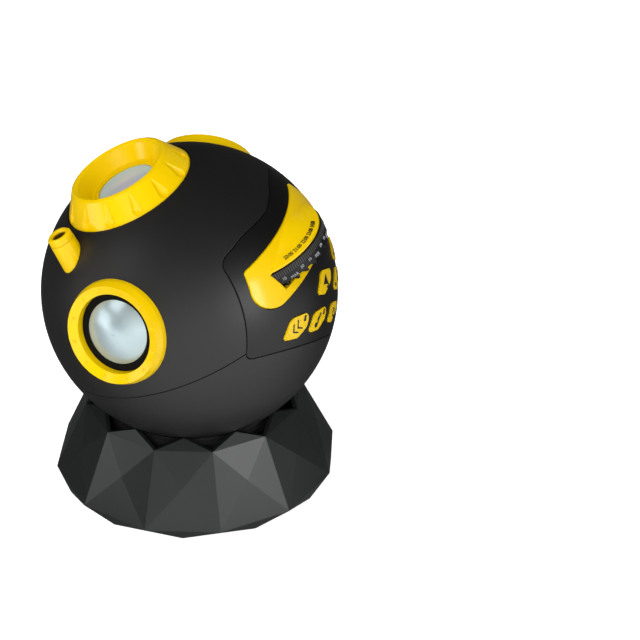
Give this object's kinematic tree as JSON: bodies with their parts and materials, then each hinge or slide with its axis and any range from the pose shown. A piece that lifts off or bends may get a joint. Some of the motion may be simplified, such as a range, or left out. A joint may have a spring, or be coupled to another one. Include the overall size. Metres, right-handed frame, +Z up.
{
  "type": "planetarium projector",
  "caption": "Ball-shaped star projector in a faceted zigzag base, with a focus ring, round speakers, a pull-out disc drawer with a date dial, a small meteor nozzle and push buttons.",
  "frame": {"origin": "centre of the base on the plane its feet stand on", "axes": "+Z up; a corner of the base's rim lies on -Y; the lens looks up towards -X at rest and the drawer opens towards +X and slightly -Y"},
  "size_m": [0.1602, 0.1682, 0.1974],
  "materials": {
    "base_plastic": "satin",
    "ball_plastic": "matte",
    "yellow_plastic": "gloss",
    "panel_plastic": "gloss",
    "dial_plastic": "satin",
    "tray_plastic": "satin",
    "inner_plastic": "satin",
    "white_plastic": "satin",
    "pearl_plastic": "gloss",
    "lens_glass": "polished",
    "disc_film": "satin",
    "steel": "satin",
    "weight_steel": "matte",
    "rubber": "matte",
    "felt": "matte",
    "board": "satin",
    "sink_aluminium": "satin",
    "led_plastic": "gloss"
  },
  "bodies": {
    "base": {"base_shell": "base_plastic", "base_cover": "inner_plastic", "base_weight": "weight_steel", "base_feet": "rubber", "base_screws": "steel"},
    "seat": {"seat_ring": "inner_plastic", "seat_felt": "felt", "seat_retainer": "inner_plastic"},
    "focus": {"focus_ring": "yellow_plastic"},
    "lens": {"lens_barrel": "inner_plastic", "front_lens": "lens_glass", "rear_lens": "lens_glass", "lens_retainer": "inner_plastic"},
    "drawer": {"drawer_tray": "tray_plastic", "drawer_cover": "tray_plastic", "dial_axle": "steel", "drawer_front": "yellow_plastic"},
    "dial": {"date_dial": "dial_plastic"},
    "disc": {"disc_ring": "white_plastic", "star_disc": "disc_film"},
    "pinion": {"drive_pinion": "white_plastic"},
    "key_back": {"button_back": "yellow_plastic"},
    "key_forward": {"button_forward": "yellow_plastic"},
    "key_stars": {"button_stars": "yellow_plastic"},
    "key_source": {"button_source": "yellow_plastic"},
    "key_play": {"button_play": "yellow_plastic"},
    "key_power": {"button_power": "yellow_plastic"},
    "ball": {"lower_shell": "ball_plastic", "upper_shell": "ball_plastic", "shell_screws": "steel", "control_panel": "panel_plastic", "keypad_board": "board", "keypad_switches": "inner_plastic", "lens_collar": "inner_plastic", "meteor_housing": "yellow_plastic", "meteor_cap": "yellow_plastic", "meteor_lens": "lens_glass", "meteor_led": "led_plastic", "chassis": "inner_plastic", "chassis_screws": "steel", "drive_motor": "steel", "lamp_house": "inner_plastic", "condenser_lens": "lens_glass", "lamp_board": "board", "lamp_led": "led_plastic", "heat_sink": "sink_aluminium", "main_board": "board", "audio_socket": "inner_plastic", "power_socket": "inner_plastic", "speaker_bezel_left": "yellow_plastic", "speaker_dome_left": "pearl_plastic", "speaker_surround_left": "rubber", "speaker_basket_left": "steel", "speaker_magnet_left": "weight_steel", "speaker_bezel_right": "yellow_plastic", "speaker_dome_right": "pearl_plastic", "speaker_surround_right": "rubber", "speaker_basket_right": "steel", "speaker_magnet_right": "weight_steel"}
  },
  "joints": [
    {"name": "seat_turn", "type": "hinge", "parent": "base", "child": "seat", "pos_m": [0, 0, 0.03], "axis": [0, 0, 1], "continuous": true},
    {"name": "ball_tilt", "type": "hinge", "parent": "seat", "child": "ball", "pos_m": [0, 0, 0.1104], "axis": [0.1774, -0.9841, 0], "range_deg": [-25, 35]},
    {"name": "focus_turn", "type": "hinge", "parent": "ball", "child": "focus", "pos_m": [-0.03128, -0.00564, 0.17944], "axis": [-0.4115, -0.0742, 0.9084], "range_deg": [-100, 100]},
    {"name": "lens_slide", "type": "slide", "parent": "ball", "child": "lens", "axis": [-0.4115, -0.0742, 0.9084], "range_m": [-0.00244, 0.00244]},
    {"name": "drawer_slide", "type": "slide", "parent": "ball", "child": "drawer", "axis": [0.8796, -0.2932, 0.3746], "range_m": [0, 0.08]},
    {"name": "dial_turn", "type": "hinge", "parent": "drawer", "child": "dial", "pos_m": [0.04458, -0.01803, 0.14564], "axis": [-0.4115, -0.0742, 0.9084], "continuous": true},
    {"name": "disc_turn", "type": "hinge", "parent": "drawer", "child": "disc", "pos_m": [-0.00617, -0.00111, 0.12402], "axis": [-0.4115, -0.0742, 0.9084], "continuous": true},
    {"name": "pinion_turn", "type": "hinge", "parent": "ball", "child": "pinion", "pos_m": [-0.04006, 0.01103, 0.10526], "axis": [-0.4115, -0.0742, 0.9084], "continuous": true},
    {"name": "press_back", "type": "slide", "parent": "ball", "child": "key_back", "axis": [-0.8796, 0.2932, -0.3746], "range_m": [0, 0.0007], "stiffness_N_per_m": 300},
    {"name": "press_forward", "type": "slide", "parent": "ball", "child": "key_forward", "axis": [-0.8796, 0.2932, -0.3746], "range_m": [0, 0.0007], "stiffness_N_per_m": 300},
    {"name": "press_stars", "type": "slide", "parent": "ball", "child": "key_stars", "axis": [-0.8796, 0.2932, -0.3746], "range_m": [0, 0.0007], "stiffness_N_per_m": 300},
    {"name": "press_source", "type": "slide", "parent": "ball", "child": "key_source", "axis": [-0.8796, 0.2932, -0.3746], "range_m": [0, 0.0007], "stiffness_N_per_m": 300},
    {"name": "press_play", "type": "slide", "parent": "ball", "child": "key_play", "axis": [-0.8796, 0.2932, -0.3746], "range_m": [0, 0.0007], "stiffness_N_per_m": 300},
    {"name": "press_power", "type": "slide", "parent": "ball", "child": "key_power", "axis": [-0.8796, 0.2932, -0.3746], "range_m": [0, 0.0007], "stiffness_N_per_m": 300}
  ],
  "couplings": [
    {"joint": "focus_turn", "follows": "lens_slide", "rad_per_m": 714.29},
    {"joint": "disc_turn", "follows": "dial_turn", "ratio": -1},
    {"joint": "pinion_turn", "follows": "dial_turn", "ratio": 2.5}
  ]
}
